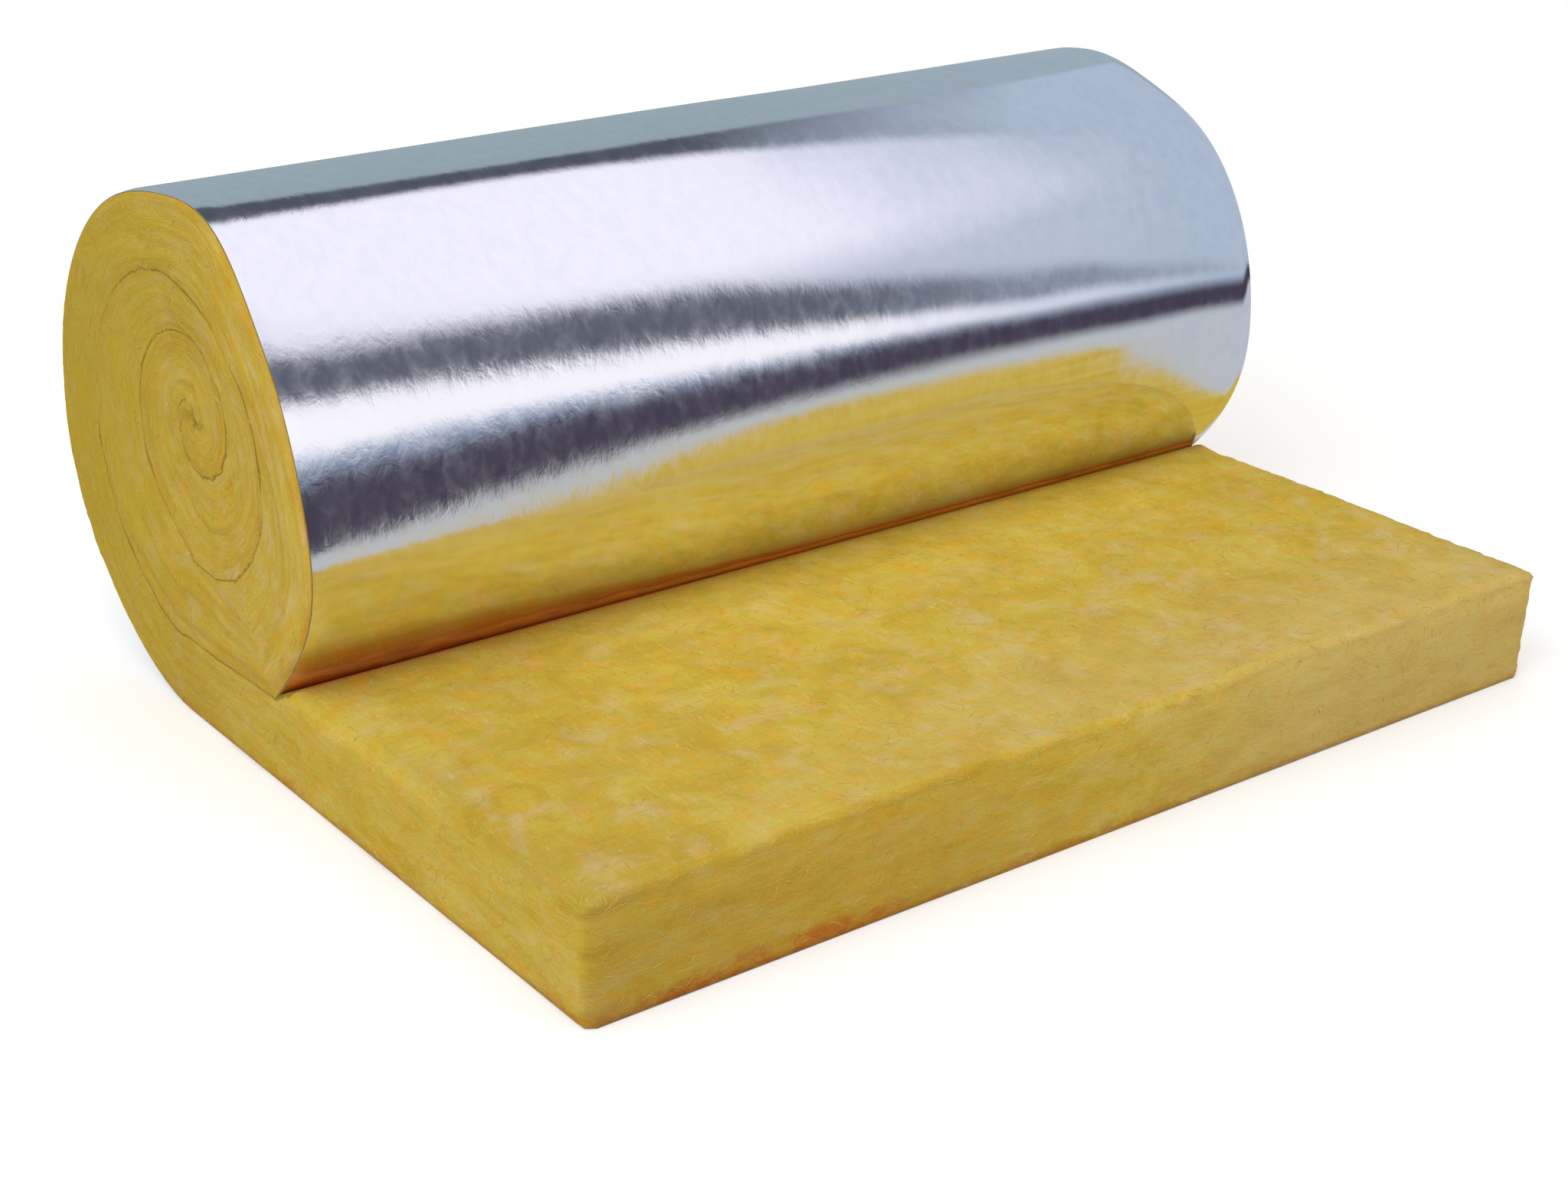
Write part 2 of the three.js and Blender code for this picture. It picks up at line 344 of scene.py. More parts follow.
def keep_values(mesh, name, values):
    """Keep one number or three for each point, for the materials to read."""
    values = np.asarray(values, np.float32)
    kind, slot = ("FLOAT_VECTOR", "vector") if values.ndim == 2 else ("FLOAT", "value")
    mesh.attributes.new(name, kind, "POINT").data.foreach_set(slot, values.ravel())


def point_values(mesh, name):
    values = np.zeros(len(mesh.vertices) * 3)
    mesh.vertices.foreach_get(name, values)
    return values.reshape(-1, 3)


# ======== glass wool blanket
def corner_recess(from_tail_end):
    """How far the rounded plan corners stand in from the sides, near the tail's end."""
    short = np.clip(TAIL_CORNER_RADIUS - from_tail_end, 0, TAIL_CORNER_RADIUS)
    return TAIL_CORNER_RADIUS - np.sqrt(TAIL_CORNER_RADIUS**2 - short**2)


def underside_x():
    """Places from the tail's end to the roll, closest together at first."""
    share = np.linspace(0, 1, UNDER_STEPS, endpoint=False)
    return TAIL_REACH * (1 - share**UNDER_CROWDING)


def wool_outline(y):
    """The blanket's outline at one place across the width, from the tail's end under the roll and
    over it to the crease, then along the tail's top and down its end.

    Gives x, z and how far each point's edge is rounded at the cut ends.
    """
    inset = FOIL_THICKNESS + GLUE_GAP
    fold = fold_angle(y)
    under_x = underside_x()
    under_round = FOILED_EDGE_ROUND + corner_recess(TAIL_REACH - under_x)
    angle = np.linspace(0, fold, AROUND_STEPS + 1)
    around_x, around_z = section_point(outer_radius(angle, y) - inset, angle)
    fold_x, fold_z = float(around_x[-1]), float(around_z[-1])
    top_end = TAIL_REACH - END_TOP_ROUND
    top_x = np.linspace(fold_x, top_end, TOP_STEPS + 1)[1:]
    top_z = tail_face(top_x, y, fold_x, fold_z)
    from_fold = climb(top_x, fold_x, fold_x + TOP_ROUND_RUN)
    top_round = FOILED_EDGE_ROUND + (TOP_EDGE_ROUND - FOILED_EDGE_ROUND) * from_fold
    turn = np.linspace(math.pi / 2, 0, TOP_EDGE_STEPS + 1)[1:]
    edge_z = tail_top(top_end, y) - END_TOP_ROUND
    share = np.linspace(0, 1, TOP_EDGE_STEPS + 1)[1:]
    edge_round = TOP_EDGE_ROUND + (TAIL_CORNER_RADIUS - TOP_EDGE_ROUND) * share
    face_z = np.linspace(edge_z, inset, FACE_STEPS + 1)[1:-1]
    x = np.concatenate([
        under_x, around_x, top_x,
        top_end + END_TOP_ROUND * np.cos(turn),
        np.full(len(face_z), TAIL_REACH),
    ])
    z = np.concatenate([
        np.full(UNDER_STEPS, inset), around_z, top_z,
        edge_z + END_TOP_ROUND * np.sin(turn),
        face_z,
    ])
    rounding = np.concatenate([
        under_round, np.full(AROUND_STEPS + 1, FOILED_EDGE_ROUND), top_round, edge_round,
        np.full(len(face_z), TAIL_CORNER_RADIUS),
    ])
    return x, z, rounding


def inside(x, z, outline):
    """Whether a level line out from each point crosses the outline an odd number of times."""
    edge_x, edge_z, _ = outline
    result = np.zeros(len(x), bool)
    for i in range(len(edge_x)):
        run_x, run_z = edge_x[i - 1] - edge_x[i], edge_z[i - 1] - edge_z[i]
        if run_z == 0:
            continue
        crosses = (edge_z[i] > z) != (edge_z[i - 1] > z)
        result ^= crosses & (x < run_x * (z - edge_z[i]) / run_z + edge_x[i])
    return result


def nearest_on_outline(x, z, outline):
    """Distance to the outline, and the rounding of its nearest point."""
    edge_x, edge_z, rounding = outline
    best = np.full(len(x), np.inf)
    nearest_rounding = np.zeros(len(x))
    for i in range(len(edge_x)):
        run_x, run_z = edge_x[i] - edge_x[i - 1], edge_z[i] - edge_z[i - 1]
        from_x, from_z = x - edge_x[i - 1], z - edge_z[i - 1]
        share = np.clip((from_x * run_x + from_z * run_z) / (run_x * run_x + run_z * run_z), 0, 1)
        gap = np.hypot(from_x - share * run_x, from_z - share * run_z)
        closer = gap < best
        best = np.where(closer, gap, best)
        rounding_here = rounding[i - 1] * (1 - share) + rounding[i] * share
        nearest_rounding = np.where(closer, rounding_here, nearest_rounding)
    return best, nearest_rounding


def distance_to_line(x, z, line):
    """Distance to the line between the turns, told apart only up to LINE_REACH."""
    best = np.full(len(x), LINE_REACH)
    for line_x, line_z in zip(line[0], line[1]):
        near = np.abs(x - line_x) < LINE_REACH
        best[near] = np.minimum(best[near], np.hypot(x[near] - line_x, z[near] - line_z))
    return best


def grid_points(outline, line, step):
    """A jittered grid inside the outline, clear of its edge and of the turns' line."""
    edge_x, edge_z, _ = outline
    columns = np.arange(edge_x.min(), edge_x.max(), step)
    rows = np.arange(edge_z.min(), edge_z.max(), END_ROW_GAP * step)
    x, z = np.meshgrid(columns, rows)
    x[::2] += step / 2
    x = x.ravel() + rng.uniform(-END_JITTER, END_JITTER, x.size) * step
    z = z.ravel() + rng.uniform(-END_JITTER, END_JITTER, z.size) * step
    off_line = distance_to_line(x, z, line) > max(LINE_ROWS) + CLEAR_OF_LINE * step
    keep = inside(x, z, outline) & off_line
    x, z = x[keep], z[keep]
    keep = nearest_on_outline(x, z, outline)[0] > CLEAR_OF_OUTLINE * step
    return x[keep], z[keep]


def line_points(outline, line):
    """Rows of points along the line between the turns."""
    line_x, line_z, normal_x, normal_z = line
    x = np.concatenate([line_x + normal_x * row for row in LINE_ROWS])
    z = np.concatenate([line_z + normal_z * row for row in LINE_ROWS])
    keep = inside(x, z, outline) & (nearest_on_outline(x, z, outline)[0] > LINE_ROWS_CLEAR)
    return x[keep], z[keep]


def fill_outline(outline, line, step):
    """Triangles that fill the outline, and which of their points are the outline's own."""
    edge_x, edge_z, _ = outline
    count = len(edge_x)
    grid_x, grid_z = grid_points(outline, line, step)
    rows_x, rows_z = line_points(outline, line)
    points_x = np.concatenate([edge_x, rows_x, grid_x])
    points_z = np.concatenate([edge_z, rows_z, grid_z])
    coordinates = [Vector((float(a), float(b))) for a, b in zip(points_x, points_z)]
    edges = [(i, (i + 1) % count) for i in range(count)]
    inside_only, exactness = 1, 1e-7
    found = geometry.delaunay_2d_cdt(
        coordinates, edges, [list(range(count))], inside_only, exactness)
    flat, faces, sources = found[0], found[2], found[3]
    outline_at = np.zeros(count, int)
    for index, source in enumerate(sources):
        for s in source:
            if s < count:
                outline_at[s] = index
    return np.array([v[0] for v in flat]), np.array([v[1] for v in flat]), faces, outline_at


def end_relief(along, depth, to_line, x, z, seed):
    """How far a cut end stands back: turns, laminations, lumps and the torn core."""
    flat = flat_points(x, z)
    layers = flat_points(along, depth)
    open_share = 0.55 + 0.45 * np.clip(1 + 1.6 * field(layers, (0.16, 1, 1), seed), 0, 1.6)
    groove = TURN_GROOVE_DEPTH * open_share * fade(to_line, TURN_GROOVE_WIDTH)
    groove += TURN_DIP_DEPTH * fade(to_line, TURN_DIP_WIDTH)
    unevenness = lumps(flat, (0.0026, 0.085, seed + 1), (0.0014, 0.030, seed + 2))
    laminations = lumps(
        layers, (0.0016, (0.085, 0.0120, 1), seed + 3), (0.0010, (0.040, 0.0065, 1), seed + 4))
    laminations *= 1 - 0.75 * climb(x, 0.20, 0.35)
    laminations *= 1 - 0.7 * climb(x, 0.05, 0.15) * climb(z, 0.28, 0.18)
    from_core_x = x - CORE_SHIFT_X
    from_core_z = z - CENTRE_HEIGHT - CORE_SHIFT_Z
    from_eye = np.hypot(from_core_x / (EYE_LENGTH / 2), from_core_z / (EYE_WIDTH / 2))
    eye = EYE_DEPTH * fade(from_eye, 1)
    torn = np.clip(field(flat, PIT_SIZE, seed + 5) - 0.22, 0, 1)
    pits = PIT_DEPTH * torn * fade(np.hypot(from_core_x, from_core_z), PIT_SPREAD)
    return groove + unevenness + laminations + eye + pits


def cut_end(side):
    """Mesh of one cut end, near (-1) or far (1)."""
    y_end = side * WIDTH / 2
    step, seed = (END_GRID[0], 3) if side < 0 else (END_GRID[1], 13)
    outline = wool_outline(y_end)
    line = turn_line(y_end)
    x, z, faces, outline_at = fill_outline(outline, line, step)
    gap, rounds = nearest_on_outline(x, z, outline)
    gap[outline_at] = 0
    rounds[outline_at] = outline[2]
    within = rounds - np.clip(gap, 0, rounds)
    recess = rounds - np.sqrt(rounds**2 - within**2)
    along, depth = blanket_coordinates(x, z, y_end)
    # The line hardly shows low in front, where the roll lies on its tail
    pressed = climb(x, -0.08, 0.04) * climb(z, 0.21, 0.16)
    to_line = distance_to_line(x, z, line) + 0.006 * pressed
    relief = end_relief(along, depth, to_line, x, z, seed)
    y = side * (WIDTH / 2 - recess + (END_PROUD - relief) * climb(gap, 0, END_PROUD_RUN))
    points = np.stack([x, y, z], 1)
    blanket = np.stack([along, side * (WIDTH / 2 - recess), depth], 1)
    return points, faces, outline_at, blanket, to_line


def settle(points):
    """Soft lumps on the tail's top and its cut end, and tufts along the edge between them."""
    x, y, z = points.T
    face = flat_points(y, z)
    lift = lumps(
        flat_points(x, y),
        (0.0032, 0.150, 21), (0.0020, 0.060, 22), (0.0013, 0.026, 23), (0.0008, 0.014, 24))
    lift *= 0.4 + 0.6 * climb(np.abs(y), WIDTH / 2, WIDTH / 2 - 0.06)
    lift -= NEAR_SIDE_DROP * climb(y, NEAR_SIDE_SPREAD - WIDTH / 2, -WIDTH / 2)
    lift *= climb(x, 0.215, 0.265) * (z < tail_top(x, y) + 0.001)
    lift *= climb(z, 0.03, 0.10)
    push = lumps(
        face, (0.0024, (0.120, 0.070, 1), 25), (0.0016, (0.050, 0.012, 1), 26),
        (0.0008, (0.020, 0.008, 1), 27))
    tufts = 0.0022 * field(face, (0.024, 0.014, 1), 28, octaves=3)
    tufts *= 0.7 + 0.7 * field(face, (0.110, 1, 1), 29)
    tufts *= fade(np.hypot(x - TAIL_REACH + 0.008, z - LOFTED_THICKNESS + 0.006), 0.012)
    at_end = climb(x, TAIL_REACH - 0.035, TAIL_REACH - 0.005) * climb(z, 0, 0.012)
    return points + np.stack([(push + tufts) * at_end, np.zeros_like(x), lift + tufts], 1)


def build_wool():
    near_points, near_faces, near_at, near_blanket, near_line = cut_end(-1)
    far_points, far_faces, far_at, far_blanket, far_line = cut_end(1)
    count = len(near_at)
    inner_steps = WIDTH_STEPS - 1
    grid = np.zeros((count, inner_steps, 3))
    for j in range(inner_steps):
        across = 2 * (j + 1) / WIDTH_STEPS - 1
        x, z, rounding = wool_outline(across * WIDTH / 2)
        grid[:, j, 0] = x
        grid[:, j, 1] = across * (WIDTH / 2 - rounding)
        grid[:, j, 2] = z
    grid = grid.reshape(-1, 3)
    far_start = len(near_points)
    grid_start = far_start + len(far_points)
    foiled = np.arange(count) < UNDER_STEPS + AROUND_STEPS + 1
    grid_blanket = grid * (-1, 1, 1)
    grid_blanket[np.repeat(foiled, inner_steps), 2] = 0

    def index(i, j):
        i %= count
        if j == 0:
            return int(near_at[i])
        if j == WIDTH_STEPS:
            return far_start + int(far_at[i])
        return grid_start + i * inner_steps + j - 1

    faces = [tuple(f) for f in near_faces]
    faces += [tuple(far_start + k for k in reversed(f)) for f in far_faces]
    for i in range(count):
        for j in range(WIDTH_STEPS):
            faces.append((index(i, j), index(i + 1, j), index(i + 1, j + 1), index(i, j + 1)))
    points = settle(np.concatenate([near_points, far_points, grid]))
    points[:, 0] += FRAME_SHIFT_X
    piece = add_mesh("glass_wool", points.tolist(), faces)
    blanket = np.concatenate([near_blanket, far_blanket, grid_blanket])
    to_line = np.concatenate([near_line, far_line, np.full(len(grid), LINE_REACH)])
    keep_values(piece.data, "blanket", blanket)
    keep_values(piece.data, "turn_line", to_line)
    piece.data.shade_smooth()
    return piece


# ======== loose strands on the wool
def strand_headings(points, on_end):
    """Round the turns on the roll's ends, level on the tail's sides, and anyhow elsewhere."""
    x = points[:, 0] - FRAME_SHIFT_X - CORE_SHIFT_X / 2
    z = points[:, 2] - CENTRE_HEIGHT - CORE_SHIFT_Z / 2
    round_turns = on_end & ((x < 0.2) | (points[:, 2] > 0.13))
    swirl = rng.uniform(0, math.pi, len(points))
    heading = np.stack([np.cos(swirl), np.sin(swirl), np.zeros_like(x)], 1)
    heading[on_end] = (1, 0, 0)
    heading[round_turns] = np.stack([z, np.zeros_like(x), -x], 1)[round_turns]
    return heading


def strand_faces(first):
    """Faces of one strand, a closed tube, from the index of its first point."""
    faces = []
    last = first + STRAND_STEPS * STRAND_SIDES
    for ring in range(first, last, STRAND_SIDES):
        for side in range(STRAND_SIDES):
            a = ring + side
            b = ring + (side + 1) % STRAND_SIDES
            faces.append((a, b, b + STRAND_SIDES, a + STRAND_SIDES))
    faces.append(tuple(reversed(range(first, first + STRAND_SIDES))))
    faces.append(tuple(range(last, last + STRAND_SIDES)))
    return faces


def build_strands(wool):
    """Bundles of fibres that lie on the wool's cut and open faces, with their ends sunk in it."""
    points = point_values(wool.data, "co")
    normals = point_values(wool.data, "normal")
    tree = bvhtree.BVHTree.FromObject(wool, bpy.context.evaluated_depsgraph_get())
    x, z = points[:, 0] - FRAME_SHIFT_X, points[:, 2]
    facing_x, facing_y, facing_z = normals.T
    on_end = np.abs(facing_y) > 0.8
    on_top = (x > CLEAR_OF_ROLL) & (z > 0.09) & (z < CLEAR_OF_TAIL) & (facing_z > 0.6)
    on_face = (x > TAIL_REACH - 0.03) & (z > 0.012) & (facing_x > 0.6)
    weight = on_end * END_SHARE + on_top + on_face
    chosen = rng.choice(len(points), STRAND_COUNT, p=weight / weight.sum())
    headings = strand_headings(points[chosen], on_end[chosen])
    verts, faces, tones = [], [], []
    corners = np.arange(STRAND_SIDES) * 2 * math.pi / STRAND_SIDES
    for source, level in zip(chosen, headings):
        normal = Vector(normals[source])
        heading = Vector(level)
        heading = (heading - normal * heading.dot(normal)).normalized()
        stray = rng.normal(0, END_STRAY if on_end[source] else OPEN_STRAY)
        heading.rotate(Matrix.Rotation(stray, 3, normal))
        length = rng.uniform(*STRAND_LENGTHS)
        bend = rng.normal(0, STRAND_BEND)
        thick = rng.uniform(*STRAND_RADII)
        place = Vector(points[source]) - heading * length / 2
        faces += strand_faces(len(verts))
        for s in range(STRAND_STEPS + 1):
            from_middle = abs(2 * s / STRAND_STEPS - 1)
            hit, hit_normal, _, _ = tree.find_nearest(place)
            if hit is None:
                hit, hit_normal = place, normal
            centre = hit + hit_normal * thick * (0.6 - 1.4 * from_middle**3)
            sideways = hit_normal.cross(heading).normalized()
            girth = thick * (1 - 0.75 * from_middle**2)
            for corner in corners:
                out = sideways * math.cos(corner) + hit_normal * math.sin(corner)
                verts.append(centre + out * girth)
            heading.rotate(Matrix.Rotation(bend / STRAND_STEPS, 3, hit_normal))
            place = hit + heading * length / STRAND_STEPS
        tones += [rng.uniform(0, 1)] * ((STRAND_STEPS + 1) * STRAND_SIDES)
    piece = add_mesh("loose_strands", [tuple(v) for v in verts], faces)
    keep_values(piece.data, "tone", tones)
    piece.data.shade_smooth()
    return piece


# ======== foil facing
def foil_swell(points, share):
    """How far the foil stands off the roll's section: a gentle swell and fine crinkles."""
    across = points[:, 1]
    swell = 0.0012 * (1 + field(points, (0.30, 0.42, 0.30), 31))
    swell += 0.00030 * (1 + field(points, (0.075, 0.140, 0.075), 32))
    slack = 1 - (1 - FAR_SLACK) * climb(across, -0.30, 0.35)
    swell += 0.00006 * slack * field(points, (0.019, 0.026, 0.019), 33)
    swell *= climb(share, 0, 0.08) * climb(share, 1, 0.97)
    return swell * climb(np.abs(across), WIDTH / 2, WIDTH / 2 - 0.012)


def foil_faces(rows, columns):
    """The outer grid, one back face for each row, and the rims between them.

    The outer points come first, row by row, and then two back points for each row.
    """
    faces = []
    backs = rows * columns
    for i in range(rows - 1):
        a = i * columns
        b = a + columns
        for j in range(columns - 1):
            faces.append((a + j, b + j, b + j + 1, a + j + 1))
        near_a, near_b = backs + 2 * i, backs + 2 * i + 2
        faces.append((near_a, near_a + 1, near_b + 1, near_b))
        faces.append((a, near_a, near_b, b))
        faces.append((a + columns - 1, b + columns - 1, near_b + 1, near_a + 1))
    middle = columns // 2
    for first, back, order in ((0, backs, 1), ((rows - 1) * columns, backs + 2 * rows - 2, -1)):
        for j in range(columns - 1):
            corner = back if j < middle else back + 1
            faces.append((first + j, first + j + 1, corner)[::order])
        faces.append((first + middle, back + 1, back)[::order])
    return faces


def build_foil():
    """A closed thin sheet: under the tail, up round the roll and into the crease."""
    under_x = underside_x()
    rows = UNDER_STEPS + FOIL_AROUND_STEPS + 1
    columns = FOIL_WIDTH_STEPS + 1
    across = np.linspace(-1, 1, columns)
    around = np.linspace(0, 1, FOIL_AROUND_STEPS + 1)
    half = np.concatenate([
        WIDTH / 2 - FOIL_TRIM - corner_recess(TAIL_REACH - under_x),
        np.full(FOIL_AROUND_STEPS + 1, WIDTH / 2 - FOIL_TRIM),
    ])
    outer = np.zeros((rows, columns, 3))
    inner = np.zeros((rows, 2, 3))
    fold_shade = np.zeros((rows, columns))
    outer[:, :, 1] = half[:, None] * across[None, :]
    inner[:, :, 1] = half[:, None] * np.array([-1, 1])[None, :]
    outer[:UNDER_STEPS, :, 0] = under_x[:, None]
    inner[:UNDER_STEPS, :, 0] = under_x[:, None]
    inner[:UNDER_STEPS, :, 2] = FOIL_THICKNESS
    for j in range(columns):
        y = across[j] * WIDTH / 2
        fold = fold_angle(y)
        angle = (fold - FOIL_END_BACK) * around
        outer[UNDER_STEPS:, j, 0::2] = np.stack(section_point(outer_radius(angle, y), angle), 1)
        # Painted shade at the fold: strongest at the crease, fading up the foil over the reach
        above_tail = np.radians(fold - between_ends(TUCK, y) - angle) * MEAN_RADIUS
        share = climb(y / WIDTH, -0.5, FOLD_SHADE_SHARE - 0.5)
        reach = FOLD_SHADE_REACH[0] * (1 - share) + FOLD_SHADE_REACH[1] * share
        fold_shade[UNDER_STEPS:, j] = np.clip(1 - above_tail / reach, 0, 1)
        if j in (0, columns - 1):
            back = section_point(outer_radius(angle, y) - FOIL_THICKNESS, angle)
            inner[UNDER_STEPS:, j // FOIL_WIDTH_STEPS, 0::2] = np.stack(back, 1)
    round_roll = outer[UNDER_STEPS:].reshape(-1, 3)
    outward = (round_roll - (0, 0, CENTRE_HEIGHT)) * (1, 0, 1)
    outward /= np.linalg.norm(outward, axis=1)[:, None]
    swell = foil_swell(round_roll, np.repeat(around, columns))
    outer[UNDER_STEPS:] = (round_roll + outward * swell[:, None]).reshape(-1, columns, 3)
    points = np.concatenate([outer.reshape(-1, 3), inner.reshape(-1, 3)])
    points[:, 0] += FRAME_SHIFT_X
    piece = add_mesh("foil", points.tolist(), foil_faces(rows, columns))
    keep_values(piece.data, "fold_shade", np.pad(fold_shade.ravel(), (0, 2 * rows)))
    piece.data.shade_smooth()
    piece.data.set_sharp_from_angle(angle=math.radians(35))
    return piece


# ======== materials
def linear(r, g, b):
    """An sRGB colour, 0 to 255, as the linear colour that the shaders take."""
    out = []
    for c in (r, g, b):
        c /= 255
        out.append(c / 12.92 if c <= 0.04045 else ((c + 0.055) / 1.055) ** 2.4)
    return (*out, 1.0)


def grey(value):
    return (value, value, value, 1.0)


class Nodes:
    """Short calls for making and joining shader nodes."""

    def __init__(self, tree):
        self.tree = tree
        tree.nodes.clear()

    def fill(self, socket, value):
        if isinstance(value, bpy.types.NodeSocket):
            self.tree.links.new(value, socket)
        else:
            socket.default_value = value

    def add(self, kind, values=None, **props):
        node = self.tree.nodes.new(kind)
        for name, value in props.items():
            setattr(node, name, value)
        for name, value in (values or {}).items():
            self.fill(node.inputs[name], value)
        return node

    def math(self, operation, a, b=0.0, c=0.0):
        return self.add("ShaderNodeMath", {0: a, 1: b, 2: c}, operation=operation).outputs[0]

    def product(self, first, *others):
        for other in others:
            first = self.math("MULTIPLY", first, other)
        return first

    def spread(self, value, low, high, to_low=0.0, to_high=1.0):
        """A value stretched from one range to another, and held at its ends."""
        return self.add("ShaderNodeMapRange", {
            "Value": value, "From Min": low, "From Max": high,
            "To Min": to_low, "To Max": to_high}).outputs[0]

    def ramp(self, factor, stops):
        node = self.add("ShaderNodeValToRGB", {"Fac": factor})
        ramp = node.color_ramp
        ramp.elements.remove(ramp.elements[1])
        ramp.elements[0].position = stops[0][0]
        ramp.elements[0].color = stops[0][1]
        for place, colour in stops[1:]:
            ramp.elements.new(place).color = colour
        return node.outputs["Color"]

    def mix(self, factor, a, b):
        node = self.add("ShaderNodeMix", data_type="RGBA")
        self.fill(node.inputs[0], factor)
        self.fill(node.inputs[6], a)
        self.fill(node.inputs[7], b)
        return node.outputs[2]

    def noise(self, vector, wavelengths, detail=3.0, rough=0.55, distortion=0.0):
        """Noise with its own wavelength along each coordinate."""
        scale = [1 / w for w in wavelengths]
        stretched = self.add("ShaderNodeMapping", {"Vector": vector, "Scale": scale})
        return self.add("ShaderNodeTexNoise", {
            "Vector": stretched.outputs[0], "Scale": 1.0, "Detail": detail,
            "Roughness": rough, "Distortion": distortion}).outputs["Fac"]

    def kept(self, name, output="Fac"):
        """What a mesh keeps for each point."""
        return self.add("ShaderNodeAttribute", attribute_name=name).outputs[output]

    def axes(self, vector):
        return self.add("ShaderNodeSeparateXYZ", {0: vector}).outputs

    def bump(self, height, strength, distance):
        values = {"Strength": strength, "Distance": distance, "Height": height}
        return self.add("ShaderNodeBump", values).outputs[0]

    def surface(self, values):
        shader = self.add("ShaderNodeBsdfPrincipled", values)
        self.add("ShaderNodeOutputMaterial", {"Surface": shader.outputs[0]})


def new_material(name):
    material = bpy.data.materials.new(name)
    material.use_nodes = True
    return material, Nodes(material.node_tree)


class WoolLook:
    """The wool's colour, painted light and shade, and bumps, by where a point lies in the blanket,
    in metres.

    Below zero, along is minus the reach of the tail, and above zero it is the length wound into
    the roll. Across runs from the near end to the far one, and depth is the height above the foil.
    """

    def __init__(self, n):
        self.n = n
        self.place = n.kept("blanket", "Vector")
        axes = n.axes(self.place)
        self.along, self.across, self.depth = axes["X"], axes["Y"], axes["Z"]
        self.standing = n.axes(n.add("ShaderNodeTexCoord").outputs["Object"])
        self.layers = n.noise(self.place, (0.110, 0.110, 0.0040), 3.0, 0.6, 0.5)
        self.lengthwise = n.noise(self.place, (0.020, 0.0050, 0.0022), 4.0, 0.65, 1.4)
        self.crosswise = n.noise(self.place, (0.0050, 0.020, 0.0022), 4.0, 0.65, 1.4)
        self.fleck = n.noise(self.place, (0.030, 0.022, 0.010), 3.0, 0.55, 0.4)
        self.on_cut = n.spread(self.along, -0.682, -0.690)
        self.at_side = n.spread(n.math("ABSOLUTE", self.across), 0.584, 0.594)
        tail_side = n.product(self.at_side, n.spread(self.along, -0.10, -0.25))
        self.layering = n.spread(n.math("MAXIMUM", self.on_cut, tail_side), 0.0, 1.0, 1.0, 0.4)

    def fibres(self):
        """Patches of yellow, with layers, flecks, a pale blush and single fibres."""
        n = self.n
        patches = n.noise(self.place, (0.070, 0.070, 0.030), 4.0, 0.6, 0.8)
        blush = n.noise(self.place, (0.040, 0.050, 0.019), 4.0, 0.62, 0.4)
        colour = n.ramp(patches, [
            (0.34, linear(197, 163, 44)),
            (0.46, linear(204, 175, 58)),
            (0.58, linear(209, 183, 72)),
            (0.70, linear(212, 186, 94)),
        ])
        layered = n.product(self.layering, n.spread(self.layers, 0.42, 0.64, 0.0, 0.45))
        colour = n.mix(layered, colour, linear(192, 156, 52))
        colour = n.mix(n.spread(self.fleck, 0.48, 0.68, 0.0, 0.65), colour, linear(220, 166, 40))
        by_roll = n.product(n.spread(self.along, -0.50, -0.32), n.spread(self.along, 0.0, -0.05))
        blushed = n.product(
            self.layering, n.spread(blush, 0.50, 0.72, 0.0, 0.65),
            n.spread(by_roll, 0.0, 1.0, 1.0, 0.45))
        colour = n.mix(blushed, colour, linear(214, 190, 142))
        pale = n.spread(self.lengthwise, 0.56, 0.72, 0.0, 0.45)
        colour = n.mix(pale, colour, linear(228, 208, 132))
        return n.mix(n.spread(self.crosswise, 0.30, 0.44, 0.28, 0.0), colour, linear(182, 146, 44))

    def tail_end(self, colour):
        """Paler towards the tail's end, whose cut face is browner near and paler far."""
        n = self.n
        pale = n.product(
            n.spread(self.along, -0.48, -0.64, 0.0, 0.30), n.spread(self.along, -0.691, -0.680),
            n.spread(self.across, -0.50, 0.10, 0.1, 1.0))
        colour = n.mix(pale, colour, linear(210, 186, 128))
        browner = n.product(self.on_cut, n.spread(self.across, 0.0, -0.22), 0.28)
        colour = n.mix(browner, colour, linear(172, 118, 36))
        paler = n.product(self.on_cut, n.spread(self.across, 0.0, 0.25), 0.50)
        return n.mix(paler, colour, linear(212, 184, 120))

    def glue(self, colour):
        """Stains where glue has soaked in from the foil, most at the near end of the cut face."""
        n = self.n
        soaked = n.noise(self.place, (0.040, 0.030, 0.024), 5.0, 0.7)
        soaked = n.spread(soaked, 0.38, 0.58, 0.002, 0.017)
        most = n.product(
            n.spread(self.across, -0.24, -0.32), n.spread(self.across, -0.56, -0.52), self.on_cut)
        soaked = n.math("MULTIPLY_ADD", most, 0.006, soaked)
        dense = n.noise(self.place, (0.016, 0.012, 0.010), 4.0, 0.7)
        dense = n.product(
            n.spread(dense, 0.35, 0.58, 0.4, 0.95), n.spread(most, 0.0, 1.0, 0.6, 1.0),
            n.spread(self.along, 0.0, 0.10, 1.0, 0.45), n.spread(self.across, 0.0, 0.3, 1.0, 0.55))
        glued = n.spread(n.math("SUBTRACT", self.depth, soaked), -0.010, 0.005, 1.0, 0.0)
        return n.mix(n.product(glued, dense), colour, linear(190, 106, 30))

